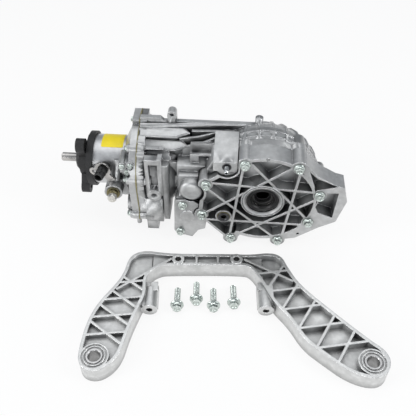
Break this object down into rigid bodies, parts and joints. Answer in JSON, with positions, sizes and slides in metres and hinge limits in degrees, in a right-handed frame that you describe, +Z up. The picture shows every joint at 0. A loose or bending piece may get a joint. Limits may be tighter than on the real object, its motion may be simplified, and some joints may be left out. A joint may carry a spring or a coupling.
{
  "type": "rear differential",
  "caption": "Rear axle drive with a cast housing, a flanged input, a clutch coupling, a spiral bevel gear pair and a differential, with its loose mounting bracket and bolts.",
  "frame": {"origin": "centre of the input flange's bolt circle, on the face that the propeller shaft bolts to", "axes": "+X along the input axis into the unit, +Z up, -Y toward the near output and the viewer of the picture"},
  "size_m": [0.5516, 0.4541, 0.216],
  "materials": {
    "cast_aluminium": "as cast, fine grain, satin",
    "turned_aluminium": "turned, satin",
    "zinc_steel": "zinc plated, satin",
    "steel": "machined",
    "dark_steel": "hardened, oiled",
    "cast_iron": "machined where it seats",
    "black_steel": "black, satin",
    "black_rubber": "semi gloss",
    "black_plastic": "matte",
    "sealant": "matte",
    "yellow_label": "satin, bare",
    "chromate": "yellow chromate",
    "friction": "matte lining"
  },
  "bodies": {
    "housing": {"main_case": "cast_aluminium", "side_cover": "cast_aluminium", "coupling_cover": "cast_aluminium", "bearing_sleeve": "turned_aluminium", "plain_label": "yellow_label", "joint_sealant": "sealant", "side_cover_bolts": "zinc_steel", "coupling_cover_bolts": "zinc_steel", "access_cover": "cast_aluminium", "access_cover_bolts": "zinc_steel", "barrel_plug": "steel", "plug_washer": "chromate", "connector": "black_plastic", "connector_bracket": "steel", "pump_screws": "zinc_steel", "fill_plug": "dark_steel", "vent_pin": "steel", "input_seal": "black_rubber", "near_output_seal": "black_rubber", "far_output_seal": "black_rubber", "input_bearing_outer": "steel", "head_bearing_cup": "steel", "tail_bearing_cup": "steel", "near_bearing_cup": "steel", "far_bearing_cup": "steel", "clutch_piston": "turned_aluminium", "mounting_bracket": "cast_aluminium", "left_bush": "turned_aluminium", "right_bush": "turned_aluminium", "bracket_bolts": "zinc_steel"},
    "input": {"input_flange": "black_steel", "input_shaft": "steel", "dust_ring": "black_steel", "input_bearing_inner": "steel", "clutch_basket": "dark_steel", "steel_plates": "steel", "pressure_plate": "steel", "thrust_bearing": "steel"},
    "pinion_shaft": {"pinion": "dark_steel", "head_bearing_cone": "steel", "tail_bearing_cone": "steel", "pinion_spacer": "steel", "pinion_nut": "steel", "clutch_hub": "dark_steel", "friction_discs": "friction"},
    "carrier_set": {"carrier": "cast_iron", "ring_gear": "dark_steel", "ring_gear_bolts": "dark_steel", "cross_pin": "steel", "near_bearing_cone": "steel", "far_bearing_cone": "steel"},
    "near_side_gear_body": {"near_side_gear": "dark_steel"},
    "far_side_gear_body": {"far_side_gear": "dark_steel"},
    "top_spider_body": {"top_spider_gear": "dark_steel"},
    "bottom_spider_body": {"bottom_spider_gear": "dark_steel"}
  },
  "joints": [
    {"name": "input_spin", "type": "hinge", "parent": "housing", "child": "input", "pos_m": [0, 0, 0], "axis": [1, 0, 0], "continuous": true},
    {"name": "pinion_spin", "type": "hinge", "parent": "housing", "child": "pinion_shaft", "pos_m": [0, 0, 0], "axis": [1, 0, 0], "continuous": true},
    {"name": "carrier_spin", "type": "hinge", "parent": "housing", "child": "carrier_set", "pos_m": [0.32, 0, 0], "axis": [0, 1, 0], "continuous": true},
    {"name": "near_side_spin", "type": "hinge", "parent": "carrier_set", "child": "near_side_gear_body", "pos_m": [0.32, 0, 0], "axis": [0, 1, 0], "continuous": true},
    {"name": "far_side_spin", "type": "hinge", "parent": "carrier_set", "child": "far_side_gear_body", "pos_m": [0.32, 0, 0], "axis": [0, 1, 0], "continuous": true},
    {"name": "top_spider_spin", "type": "hinge", "parent": "carrier_set", "child": "top_spider_body", "pos_m": [0.32, 0, 0], "axis": [0, 0, 1], "continuous": true},
    {"name": "bottom_spider_spin", "type": "hinge", "parent": "carrier_set", "child": "bottom_spider_body", "pos_m": [0.32, 0, 0], "axis": [0, 0, 1], "continuous": true}
  ],
  "couplings": [
    {"joint": "pinion_spin", "follows": "carrier_spin", "ratio": -2.8182},
    {"joint": "far_side_spin", "follows": "near_side_spin", "ratio": -1},
    {"joint": "top_spider_spin", "follows": "near_side_spin", "ratio": 1.6},
    {"joint": "bottom_spider_spin", "follows": "near_side_spin", "ratio": -1.6}
  ]
}
